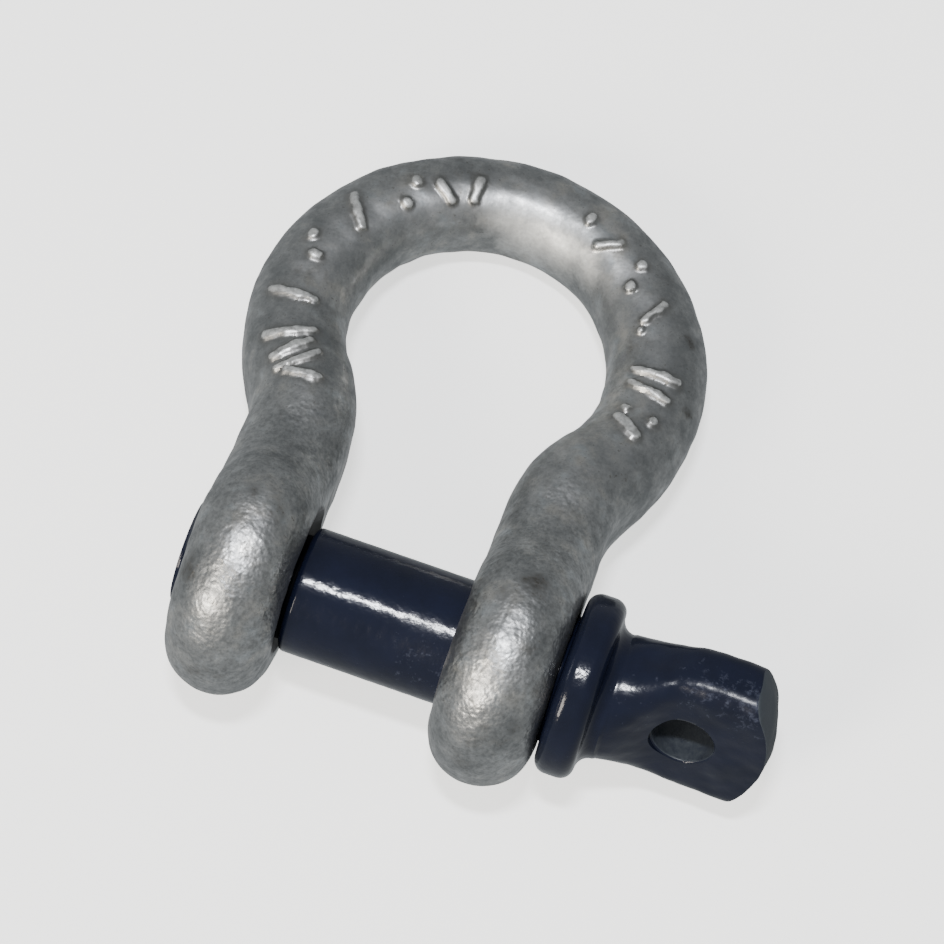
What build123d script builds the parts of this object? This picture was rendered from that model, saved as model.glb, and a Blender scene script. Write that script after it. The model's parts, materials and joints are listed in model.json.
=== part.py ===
from build123d import *

import math
import os

# Bow shackle with a screw pin, in millimetres. It lies as it comes to rest, on the rims of its two
# ears and the crown of its bow. +X runs along the pin towards its head, +Y from the pin to the
# crown and +Z up. The origin is on that surface, under the middle of the shackle's box.

# Bow: a round bar bent to a wide loop, a little thinner at its crown, with round ears. The legs
# taper from the ears' roots to the loop, whose centre is at the loop distance from the pin's axis.
jaw = 20.9
ear_thickness = 13.3
ear_diameter = 31.8
ear_root_height = 19.0
bar_height = 12.6
side_thickness = 13.0
crown_thickness = 11.5
inside_width = 33.4
loop_distance = 39.8
neck_bend_radius = 16.0
section_flat = 0.3

# Bores of the ears
plain_bore_clearance = 0.75
bore_chamfer = 0.6
thread_clearance = 0.05
tapped_bore_recess = 1.2

# Pin: thread, slimmer than the shank so that it passes the plain bore, and relief groove
thread_undersize = 1.0
thread_end_reach = 1.2
thread_end_chamfer = 1.2
relief_depth = 0.8
relief_width = 2.6

# Pin: shank, which begins just inside the jaw
pin_diameter = 16.0
shank_start = 0.9
shank_chamfer = 0.5

# Pin: collar and neck
collar_gap = 0.4
collar_diameter = 23.2
collar_thickness = 5.0
collar_rim_radius = 2.1
neck_diameter = 16.0
neck_fillet = 1.8
neck_overlap = 0.1

# Pin: flattened head with its eye
head_width = 21.2
head_thickness = 8.2
head_offset = -1.2
head_reach = 27.2
head_wide_length = 8.5
head_flat_length = 12.0
head_end_radius = 17.3
head_edge_radius = 2.4
head_end_edge = 0.5
head_eye_diameter = 7.8
head_eye_to_end = 10.7
head_turn = 81.0
head_spare = 1.0
head_sections = 9

# Radii that several features share
pin_radius = pin_diameter / 2
thread_radius = (pin_diameter - thread_undersize) / 2
relief_radius = thread_radius - relief_depth
neck_round = (neck_diameter - section_flat) / 2
plain_bore_radius = pin_radius + plain_bore_clearance
tapped_bore_radius = thread_radius + thread_clearance

# Places along the pin, from the middle of the jaw
ear_mid = (jaw + ear_thickness) / 2
ear_outside = jaw / 2 + ear_thickness
thread_end = -(ear_outside + thread_end_reach)
shank_end = -jaw / 2 + shank_start
relief_end = shank_end - relief_width
collar_seat = ear_outside + collar_gap
collar_front = collar_seat + collar_thickness
head_end = collar_seat + head_reach

# Centre line of the bow: legs, neck bends and the large arc round the crown
loop_radius = (inside_width + side_thickness) / 2
crown_distance = loop_distance + loop_radius
neck_centre = ear_mid + neck_bend_radius
neck_height = loop_distance - math.sqrt((loop_radius + neck_bend_radius) ** 2 - neck_centre**2)
neck_angle = math.degrees(math.atan2(loop_distance - neck_height, neck_centre))

# The bow tips forward until its crown meets the surface that the ears stand on
ear_radius = ear_diameter / 2
lying_tilt = math.asin((ear_radius - bar_height / 2) / crown_distance)
left = -(loop_radius + side_thickness / 2)
back = crown_distance * math.cos(lying_tilt) + crown_thickness / 2
bow_plane = Plane(
    origin=(-(left + head_end) / 2, (ear_radius - back) / 2, ear_radius),
    x_dir=(1, 0, 0),
    z_dir=(0, math.sin(lying_tilt), math.cos(lying_tilt)),
)
pin_axis = Axis(bow_plane.origin, bow_plane.x_dir)


def across_pin(x, turn=0):
    """Plane square to the pin, x from the middle of the jaw; its own x points at the crown, or is
    turned from there about the pin."""
    angle = math.radians(turn)
    place = bow_plane.from_local_coords(Vector(x, 0, 0))
    sideways = bow_plane.y_dir * math.cos(angle) + bow_plane.z_dir * math.sin(angle)
    return Plane(origin=place, x_dir=sideways, z_dir=bow_plane.x_dir)


def across_bar(centre_x, centre_y, angle):
    """Plane square to the bar at a point of the bow, whose own x points along the given angle."""
    turn = math.radians(angle)
    outwards = bow_plane.x_dir * math.cos(turn) + bow_plane.y_dir * math.sin(turn)
    along = bow_plane.y_dir * math.cos(turn) - bow_plane.x_dir * math.sin(turn)
    place = bow_plane.from_local_coords(Vector(centre_x, centre_y, 0))
    return Plane(origin=place, x_dir=outwards, z_dir=along)


def corner_radius(thickness, height):
    """Radius that rounds a bar of this section to all but a narrow flat on its shorter side."""
    return (min(thickness, height) - section_flat) / 2


# Outline of one ear, square to the pin: a disc that narrows to its root through two hollow arcs
root_half = ear_root_height / 2
hollow_radius = (neck_height**2 - ear_radius**2 + root_half**2) / (2 * (ear_radius - root_half))
hollow_centre = root_half + hollow_radius
hollow_angle = math.degrees(math.atan2(hollow_centre, neck_height))

# Sections of the bar: centre, direction of its outer side, thickness in the bow's plane and height
bar_sections = (
    (ear_mid, neck_height, 0, ear_thickness, ear_root_height),
    (loop_radius, loop_distance, 0, side_thickness, bar_height),
    (0, crown_distance, 90, crown_thickness, bar_height),
    (-loop_radius, loop_distance, 180, side_thickness, bar_height),
    (-ear_mid, neck_height, 180, ear_thickness, ear_root_height),
)

with BuildPart() as bow:
    for side in (-1, 1):
        with BuildSketch(across_pin(side * jaw / 2)):
            with BuildLine():
                CenterArc((0, 0), ear_radius, hollow_angle, 360 - 2 * hollow_angle)
                CenterArc((neck_height, hollow_centre), hollow_radius, 270, hollow_angle - 90)
                Line((neck_height, root_half), (neck_height, -root_half))
                CenterArc((neck_height, -hollow_centre), hollow_radius, 90, 90 - hollow_angle)
            make_face()
        extrude(amount=side * ear_thickness)
    roots = bow.faces().filter_by(lambda face: face.normal_at().dot(bow_plane.y_dir) > 0.999)
    rims = bow.faces().filter_by(Axis.X).edges() - roots.edges()
    fillet(rims, corner_radius(ear_thickness, ear_root_height))

    with BuildLine(bow_plane) as centre_line:
        CenterArc((neck_centre, neck_height), neck_bend_radius, 180, -neck_angle)
        CenterArc((0, loop_distance), loop_radius, -neck_angle, 180 + 2 * neck_angle)
        CenterArc((-neck_centre, neck_height), neck_bend_radius, neck_angle, -neck_angle)
    for centre_x, centre_y, angle, thickness, height in bar_sections:
        with BuildSketch(across_bar(centre_x, centre_y, angle)):
            RectangleRounded(thickness, height, corner_radius(thickness, height))
    sweep(path=centre_line.line, multisection=True)

    for mouth in (-across_pin(jaw / 2), across_pin(ear_outside)):
        with Locations(mouth):
            CounterSinkHole(plain_bore_radius, plain_bore_radius + bore_chamfer, ear_thickness, 90)
    with Locations(across_pin(-jaw / 2)):
        CounterSinkHole(tapped_bore_radius, pin_radius + tapped_bore_recess, ear_thickness, 90)
    with Locations(-across_pin(-ear_outside)):
        CounterSinkHole(tapped_bore_radius, tapped_bore_radius + bore_chamfer, ear_thickness, 90)

# The head grows out of the round neck: it widens and flattens along the pin
dome_centre = head_end - head_end_radius
neck_start = collar_front - collar_thickness / 2
neck_root = collar_front + neck_fillet + neck_overlap


def ramp(x, end):
    """Smooth rise from 0 where the neck leaves the collar to 1 at the given place."""
    part = min(max((x - collar_front) / (end - collar_front), 0), 1)
    return part**2 * (3 - 2 * part)


with BuildPart() as screw_pin:
    for section in range(head_sections + 1):
        x = neck_start + (head_end + head_spare - neck_start) * section / head_sections
        flattened = ramp(x, head_end - head_flat_length)
        width = neck_diameter + (head_width - neck_diameter) * ramp(x, head_end - head_wide_length)
        thickness = neck_diameter + (head_thickness - neck_diameter) * flattened
        corner = neck_round + (head_edge_radius - neck_round) * flattened
        with BuildSketch(across_pin(x, head_turn)):
            with Locations((0, head_offset * flattened)):
                RectangleRounded(width, thickness, corner)
    loft()

    with BuildSketch(bow_plane):
        with BuildLine():
            CenterArc((dome_centre, 0), head_end_radius, 0, 90)
            Polyline(
                (dome_centre, head_end_radius),
                (neck_start, head_end_radius),
                (neck_start, 0),
                (head_end, 0),
            )
        make_face()
    revolve(axis=pin_axis, mode=Mode.INTERSECT)
    end_rims = screw_pin.edges().filter_by_position(pin_axis, head_end - head_flat_length, head_end)
    fillet(end_rims, head_end_edge)

    eye_section = across_pin(head_end - head_eye_to_end, head_turn)
    with Locations(Plane(eye_section.origin, bow_plane.x_dir, eye_section.y_dir)):
        Hole(head_eye_diameter / 2)

    with BuildSketch(bow_plane):
        with BuildLine():
            Polyline(
                (neck_root, neck_diameter / 2 - neck_overlap),
                (neck_root, 0),
                (thread_end, 0),
                (thread_end, thread_radius - thread_end_chamfer),
                (thread_end + thread_end_chamfer, thread_radius),
                (relief_end - relief_depth, thread_radius),
                (relief_end, relief_radius),
                (shank_end, relief_radius),
                (shank_end, pin_radius - shank_chamfer),
                (shank_end + shank_chamfer, pin_radius),
                (collar_seat, pin_radius),
            )
            FilletPolyline(
                (collar_seat, pin_radius),
                (collar_seat, collar_diameter / 2),
                (collar_front, collar_diameter / 2),
                (collar_front, neck_diameter / 2 - neck_overlap),
                (neck_root, neck_diameter / 2 - neck_overlap),
                radius=(collar_rim_radius, collar_rim_radius, neck_fillet),
            )
        make_face()
    revolve(axis=pin_axis)

screw_pin.part.label = "screw_pin"

os.makedirs("parts", exist_ok=True)
export_step(bow.part, "parts/bow.step")
export_step(screw_pin.part, "parts/screw_pin.step")
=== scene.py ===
"""Looks of a galvanised bow shackle with a painted screw pin: its surfaces, finishes, light and camera.

Sizes are in millimetres in the bow's own plane: x along the pin to its head, y from the pin to the
crown, z square to both, with the origin on the pin's axis in the middle of the jaw. The meshes are
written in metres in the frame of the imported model.
"""
import json
import logging
import math
from dataclasses import dataclass, field
from enum import Enum

import bpy
import numpy as np
from mathutils import Matrix, Vector


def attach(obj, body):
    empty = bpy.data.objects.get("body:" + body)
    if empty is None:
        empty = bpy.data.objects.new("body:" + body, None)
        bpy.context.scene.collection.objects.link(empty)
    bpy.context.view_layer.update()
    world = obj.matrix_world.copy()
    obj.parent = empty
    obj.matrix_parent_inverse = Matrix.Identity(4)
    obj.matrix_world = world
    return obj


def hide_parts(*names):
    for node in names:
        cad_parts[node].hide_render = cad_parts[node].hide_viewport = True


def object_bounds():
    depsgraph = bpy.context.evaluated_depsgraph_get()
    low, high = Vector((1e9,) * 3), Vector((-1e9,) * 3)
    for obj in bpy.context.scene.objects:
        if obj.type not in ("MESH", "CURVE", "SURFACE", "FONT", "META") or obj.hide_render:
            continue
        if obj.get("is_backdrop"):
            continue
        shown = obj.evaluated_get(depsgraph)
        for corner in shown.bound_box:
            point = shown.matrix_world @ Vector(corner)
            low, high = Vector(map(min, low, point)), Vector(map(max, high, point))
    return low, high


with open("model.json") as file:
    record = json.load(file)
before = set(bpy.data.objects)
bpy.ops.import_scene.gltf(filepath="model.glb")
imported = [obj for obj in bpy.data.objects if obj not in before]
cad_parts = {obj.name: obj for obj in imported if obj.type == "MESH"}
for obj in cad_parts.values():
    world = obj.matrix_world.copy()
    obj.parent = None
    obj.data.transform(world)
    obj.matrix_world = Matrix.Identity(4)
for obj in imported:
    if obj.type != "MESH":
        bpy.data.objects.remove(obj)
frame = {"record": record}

log = logging.getLogger("shackle")
# A place on a surface: its centre, its reach and its strength
Spot = tuple[tuple[float, float, float], float, float]
MM = 0.001
FULL_TURN = 2 * math.pi
PIN_RADIUS = 8.0
ARC_STEPS = 12
# Degrees from which an edge stays sharp, and rows over which a relief calms down
CREASE_ANGLE = 40
CALM_SPREAD = 1.5
MATH = "ShaderNodeMath"
MIX = "ShaderNodeMix"
RANGE = "ShaderNodeMapRange"
BUMP = "ShaderNodeBump"


def linear_colour(code: str) -> tuple[float, float, float, float]:
    """Turns an sRGB hex value into the linear colour that a shader socket takes.

    Args:
        code: Six hex digits, such as "8a8d8f".

    Returns:
        Red, green, blue and an alpha of one.
    """
    shares = [int(code[i : i + 2], 16) / 255 for i in (0, 2, 4)]
    linear = [s / 12.92 if s <= 0.04045 else ((s + 0.055) / 1.055) ** 2.4 for s in shares]
    return (*linear, 1.0)


def smooth_step(share: np.ndarray) -> np.ndarray:
    """Rises from 0 to 1 as 3t^2 - 2t^3, flat at both ends, and stays there outside."""
    part = np.clip(share, 0, 1)
    return part**2 * (3 - 2 * part)


def soften(rows: np.ndarray, spread: float) -> np.ndarray:
    """Rounds the corners of curves by a running bell-shaped average down the first axis.

    Args:
        rows: Points or values in order down the first axis.
        spread: Standard deviation of the bell, in rows.

    Returns:
        The same rows, averaged, with both ends held in place.
    """
    reach = int(3 * spread) + 1
    bell = np.exp(-0.5 * (np.arange(-reach, reach + 1) / spread) ** 2)
    bell /= bell.sum()
    padded = np.concatenate([np.repeat(rows[:1], reach, 0), rows, np.repeat(rows[-1:], reach, 0)])
    return sum(share * padded[i : i + len(rows)] for i, share in enumerate(bell))


def calm_ends(count: int, first: int, last: int) -> np.ndarray:
    """One down a run of rows, falling softly to 0 over its first and its last few rows.

    Args:
        count: Number of rows.
        first: Number of still rows at the start.
        last: Number of still rows at the end.

    Returns:
        A column of shares.
    """
    still = np.concatenate([np.zeros(first), np.ones(count - first - last), np.zeros(last)])
    return soften(still[:, None], CALM_SPREAD)


def spot_share(points: np.ndarray, spots: tuple[Spot, ...]) -> np.ndarray:
    """Share of each point in some places: strength * exp(-(distance / reach)^2), the highest.

    Args:
        points: Points, the last axis x, y, z.
        spots: The places.

    Returns:
        One share for each point.
    """
    share = np.zeros(points.shape[:-1])
    for centre, reach, strength in spots:
        away = ((points - centre) ** 2).sum(-1)
        share = np.maximum(share, strength * np.exp(-away / reach**2))
    return share


def even_turns(count: int) -> np.ndarray:
    """Angles at even distances round a full turn, in radians."""
    return np.linspace(0, FULL_TURN, count, endpoint=False)


def flare(radius: float | np.ndarray, inside: np.ndarray) -> np.ndarray:
    """How far a quarter-round edge falls back: radius - sqrt(radius^2 - (radius - inside)^2).

    Args:
        radius: Radius of the edge.
        inside: Distance inside the face that the edge rounds.

    Returns:
        The radius at the face itself, and 0 from the radius on.
    """
    short = np.clip(radius - inside, 0, radius)
    return radius - np.sqrt(radius**2 - short**2)


def arc_points(centre: tuple[float, float], radius: float, start: float, end: float) -> np.ndarray:
    """Points of a circular arc from one angle in degrees to another."""
    angles = np.radians(np.linspace(start, end, ARC_STEPS + 1))
    return np.stack([centre[0] + radius * np.cos(angles), centre[1] + radius * np.sin(angles)], -1)


def even_profile(corners: np.ndarray, spacing: float) -> np.ndarray:
    """Points at even distances along a broken line.

    Args:
        corners: The line's points, one row each.
        spacing: Distance between the new points, in millimetres.

    Returns:
        The new points, from the first corner to the last.
    """
    steps = np.linalg.norm(np.diff(corners, axis=0), axis=1)
    walked = np.concatenate([[0], np.cumsum(steps)])
    places = np.linspace(0, walked[-1], int(walked[-1] / spacing) + 1)
    return np.stack([np.interp(places, walked, corners[:, i]) for i in range(corners.shape[1])], -1)


@dataclass(frozen=True)
class Relief:
    """Smooth random relief: cosine waves in random directions, added up and scaled to one height.

    Fields:
        length: Middle wave length, in millimetres.
        height: Standard deviation of the relief, in millimetres.
        seed: Seed of the directions, lengths and phases.
        waves: Number of waves.
        shortest: Shortest wave, as a share of the middle one.
        longest: Longest wave, as a share of the middle one.
    """

    length: float
    height: float
    seed: int
    waves: int = 28
    shortest: float = 0.7
    longest: float = 1.5

    def at(self, points: np.ndarray) -> np.ndarray:
        """Height at each point: the sum over the waves of cos(2 pi k.p + phase), scaled.

        Args:
            points: Places in millimetres, the last axis being x, y, z.

        Returns:
            One height for each point.
        """
        source = np.random.default_rng(self.seed)
        directions = source.normal(size=(self.waves, 3))
        directions /= np.linalg.norm(directions, axis=1, keepdims=True)
        shares = source.uniform(self.shortest, self.longest, (self.waves, 1))
        numbers = directions / (self.length * shares)
        phases = source.uniform(0, FULL_TURN, self.waves)
        total = np.cos(FULL_TURN * points @ numbers.T + phases).sum(-1)
        return self.height * total / math.sqrt(self.waves / 2)


def add_object(name: str, data: bpy.types.ID) -> bpy.types.Object:
    """Makes an object and puts it into the scene.

    Args:
        name: Name of the object.
        data: Its mesh, lamp or camera.

    Returns:
        The new object.
    """
    made = bpy.data.objects.new(name, data)
    bpy.context.scene.collection.objects.link(made)
    return made


def stand_at(made: bpy.types.Object, spot: Vector, axes: list[Vector]) -> None:
    """Places an object at a spot with its own x, y and z along three unit vectors."""
    made.matrix_world = Matrix.Translation(spot) @ Matrix(axes).transposed().to_4x4()


@dataclass(frozen=True)
class Plane3:
    """The bow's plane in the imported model: an origin and three directions, in millimetres."""

    origin: np.ndarray
    axes: np.ndarray

    @classmethod
    def from_record(cls, record: dict) -> "Plane3":
        """Reads the pin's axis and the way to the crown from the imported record's mounts.

        Args:
            record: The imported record.

        Returns:
            The plane, with x along the pin, y to the crown and z = x cross y.
        """
        mounts = {mount["name"]: mount for mount in record["mounts"]}
        along_pin = -np.array(mounts["shank"]["axis"], float)
        to_crown = -np.array(mounts["crown_inside"]["axis"], float)
        upwards = np.cross(along_pin, to_crown)
        origin = np.array(mounts["shank"]["pos_m"], float) / MM
        return cls(origin, np.stack([along_pin, to_crown, upwards]))

    def metres(self, points: np.ndarray) -> np.ndarray:
        """Places of the bow's plane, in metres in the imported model's frame."""
        return (self.origin + points @ self.axes) * MM

    def inward(self, piece: bpy.types.Object) -> np.ndarray:
        """Places of a piece's vertices in the bow's plane.

        Args:
            piece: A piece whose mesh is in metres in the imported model's frame.

        Returns:
            One row of x, y, z in millimetres for each vertex.
        """
        spots = np.empty(len(piece.data.vertices) * 3, np.float32)
        piece.data.vertices.foreach_get("co", spots)
        return (spots.reshape(-1, 3) / MM - self.origin) @ self.axes.T

    def direction(self, vector: tuple[float, float, float]) -> Vector:
        """A direction of the bow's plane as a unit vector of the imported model's frame."""
        return Vector(np.array(vector, float) @ self.axes).normalized()


@dataclass
class Tube:
    """A closed tube: a grid of points whose columns run round it and whose ends close on a pole.

    Fields:
        points: Rows by columns by x, y, z, in millimetres.
        start: Pole before the first row.
        end: Pole after the last row.
        marks: Named values of the surface, one for each point of the grid.
    """

    points: np.ndarray
    start: np.ndarray
    end: np.ndarray
    marks: dict[str, np.ndarray] = field(default_factory=dict)

    @classmethod
    def between_flats(cls, points: np.ndarray) -> "Tube":
        """A tube whose ends are flat, with each pole in the middle of its end row."""
        return cls(points, points[0].mean(0), points[-1].mean(0))

    def normals(self) -> np.ndarray:
        """Outward normals: the cross product of the way round and the way along.

        Returns:
            A unit vector for each point of the grid.
        """
        around = np.roll(self.points, -1, 1) - np.roll(self.points, 1, 1)
        along = np.gradient(self.points, axis=0)
        outward = np.cross(around, along)
        return outward / np.maximum(np.linalg.norm(outward, axis=-1, keepdims=True), 1e-9)

    def lift(self, heights: np.ndarray) -> None:
        """Moves each point along its normal by its own height, in millimetres."""
        self.points = self.points + self.normals() * heights[..., None]

    def build(self, name: str, place: Plane3) -> bpy.types.Object:
        """Makes the mesh: quads between neighbouring rows and columns, and a fan at each pole.

        Args:
            name: Name of the new object.
            place: The plane that the points are given in.

        Returns:
            An object at the origin with the place in its mesh.
        """
        rows, columns = self.points.shape[:2]
        row, column = np.meshgrid(np.arange(rows - 1), np.arange(columns), indexing="ij")
        beside = (column + 1) % columns
        quads = [row * columns + column, row * columns + beside]
        quads += [quads[1] + columns, quads[0] + columns]
        here = np.arange(columns)
        following = (here + 1) % columns
        last = (rows - 1) * columns
        poles = rows * columns + np.zeros((2, columns), int) + [[0], [1]]
        first_fan = np.stack([poles[0], following, here], -1)
        last_fan = np.stack([poles[1], last + here, last + following], -1)
        faces = np.stack(quads, -1).reshape(-1, 4)
        loops = np.concatenate([faces.ravel(), first_fan.ravel(), last_fan.ravel()])
        sizes = np.concatenate([np.full(len(faces), 4), np.full(2 * columns, 3)])
        corners = np.concatenate([self.points.reshape(-1, 3), [self.start], [self.end]])
        mesh = bpy.data.meshes.new(name)
        mesh.vertices.add(len(corners))
        mesh.vertices.foreach_set("co", place.metres(corners).astype(np.float32).ravel())
        mesh.loops.add(len(loops))
        mesh.loops.foreach_set("vertex_index", loops.astype(np.int32))
        mesh.polygons.add(len(sizes))
        mesh.polygons.foreach_set("loop_start", (np.cumsum(sizes) - sizes).astype(np.int32))
        mesh.update(calc_edges=True)
        piece = add_object(name, mesh)
        for mark, values in self.marks.items():
            closed = np.concatenate([values.ravel(), [values[0].mean(), values[-1].mean()]])
            add_mark(piece, mark, closed)
        return piece


def add_mark(piece: bpy.types.Object, name: str, values: np.ndarray) -> None:
    """Gives a piece a named value at each vertex, for its material to read."""
    attribute = piece.data.attributes.new(name, "FLOAT", "POINT")
    attribute.data.foreach_set("value", values.astype(np.float32))


def cut_away(piece: bpy.types.Object, cutters: list[bpy.types.Object]) -> None:
    """Cuts holes in a piece, keeps the result as its mesh and deletes the cutters.

    Args:
        piece: The closed piece to cut.
        cutters: Closed solids of the material that goes.
    """
    for cutter in cutters:
        modifier = piece.modifiers.new(cutter.name, "BOOLEAN")
        modifier.operation = "DIFFERENCE"
        modifier.solver = "MANIFOLD"
        modifier.object = cutter
    graph = bpy.context.evaluated_depsgraph_get()
    mesh = bpy.data.meshes.new_from_object(piece.evaluated_get(graph))
    piece.modifiers.clear()
    piece.data = mesh
    for cutter in cutters:
        bpy.data.objects.remove(cutter)


def shade(piece: bpy.types.Object, material: bpy.types.Material) -> None:
    """Gives a piece its finish and smooth shading, with edges over the crease angle kept sharp.

    Args:
        piece: The piece.
        material: Its finish.
    """
    piece.data.materials.clear()
    piece.data.materials.append(material)
    piece.data.shade_smooth()
    piece.data.set_sharp_from_angle(angle=math.radians(CREASE_ANGLE))


@dataclass(frozen=True)
class Thread:
    """Coarse right-hand thread of 11 turns to the inch, with the flanks of a 60 degree thread.

    Fields:
        pitch: Distance from one turn to the next.
        crest: Outer radius of the pin's thread.
        depth: Depth of its grooves.
        crest_share: Share of the half turn that the flat crest takes.
        flank_share: Share that the flank takes.
    """

    pitch: float = 25.4 / 11
    crest: float = 7.5
    depth: float = 1.25
    crest_share: float = 0.16
    flank_share: float = 0.62

    def radius(self, x: np.ndarray, turn: np.ndarray) -> np.ndarray:
        """Radius of the thread: a flat crest and root joined by flanks, winding along the pin.

        Args:
            x: Place along the pin.
            turn: Angle about the pin, in radians.

        Returns:
            The radius, x and turn broadcast together.
        """
        phase = np.abs((x / self.pitch - turn / FULL_TURN) % 1 - 0.5) * 2
        return self.crest - self.depth * smooth_step((phase - self.crest_share) / self.flank_share)


class MarkKind(Enum):
    """Forms of the plain raised marks on the bow."""

    BAR = "bar"
    PIP = "pip"


@dataclass(frozen=True)
class RaisedMark:
    """One plain raised mark, forged on the top of the bar.

    Fields:
        kind: Bar or pip.
        along: Place along the bar from the crown, positive to the right.
        across: Place across the bar from its top line, positive outwards.
        reach: Half the length of a bar.
        turn: Angle of a bar from square across, in degrees.
        half_width: Half the width of the mark at its top.
    """

    kind: MarkKind
    along: float
    across: float
    reach: float = 0.0
    turn: float = 0.0
    half_width: float = 0.55

    def share(self, along: np.ndarray, across: np.ndarray, slope: float) -> np.ndarray:
        """Height of the mark from 0 to 1: one inside its outline, falling smoothly over the slope.

        Args:
            along: Place of each point along the bar.
            across: Place of each point across the bar.
            slope: Width of the falling edge.

        Returns:
            One share for each point.
        """
        angle = math.radians(self.turn)
        dx = along - self.along
        dy = across - self.across
        lengthwise = dx * math.sin(angle) + dy * math.cos(angle)
        sideways = dx * math.cos(angle) - dy * math.sin(angle)
        reach = self.reach if self.kind is MarkKind.BAR else 0.0
        beyond = np.maximum(np.abs(lengthwise) - reach, 0)
        distance = np.hypot(beyond, sideways) - self.half_width
        return smooth_step(1 - distance / slope)


BAR = MarkKind.BAR
PIP = MarkKind.PIP
MARKS = (
    RaisedMark(BAR, -53.0, 0.7, 1.5, 24, 0.3),
    RaisedMark(BAR, -50.8, 1.0, 2.2, -20, 0.25),
    RaisedMark(BAR, -48.5, 1.2, 2.1, -16, 0.25),
    RaisedMark(BAR, -46.0, 1.2, 2.6, 2, 0.25),
    RaisedMark(BAR, -40.0, 1.1, 2.6, 9, 0.3),
    RaisedMark(PIP, -33.6, 0.2, half_width=0.38),
    RaisedMark(PIP, -31.2, 1.8, half_width=0.48),
    RaisedMark(BAR, -24.8, 0.2, 2.2, 34, 0.35),
    RaisedMark(PIP, -18.3, -2.0, half_width=0.48),
    RaisedMark(PIP, -15.8, 0.3, half_width=0.48),
    RaisedMark(BAR, -12.3, -1.8, 1.4, -28, 0.35),
    RaisedMark(BAR, -7.9, -1.8, 1.3, 20, 0.4),
    RaisedMark(PIP, 8.2, -0.4, half_width=0.48),
    RaisedMark(BAR, 12.4, -1.4, 1.5, 38, 0.25),
    RaisedMark(PIP, 17.4, 0.3, half_width=0.38),
    RaisedMark(PIP, 19.6, -2.2, half_width=0.53),
    RaisedMark(BAR, 24.6, -0.6, 1.6, -34, 0.25),
    RaisedMark(PIP, 26.9, -2.6, half_width=0.28),
    RaisedMark(BAR, 34.0, -0.6, 2.6, 10, 0.25),
    RaisedMark(BAR, 36.6, -0.9, 2.4, 16, 0.25),
    RaisedMark(PIP, 40.8, 1.2, half_width=0.43),
    RaisedMark(PIP, 40.6, -2.4, half_width=0.38),
    RaisedMark(BAR, 43.4, -0.9, 1.4, 24, 0.5),
)


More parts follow.
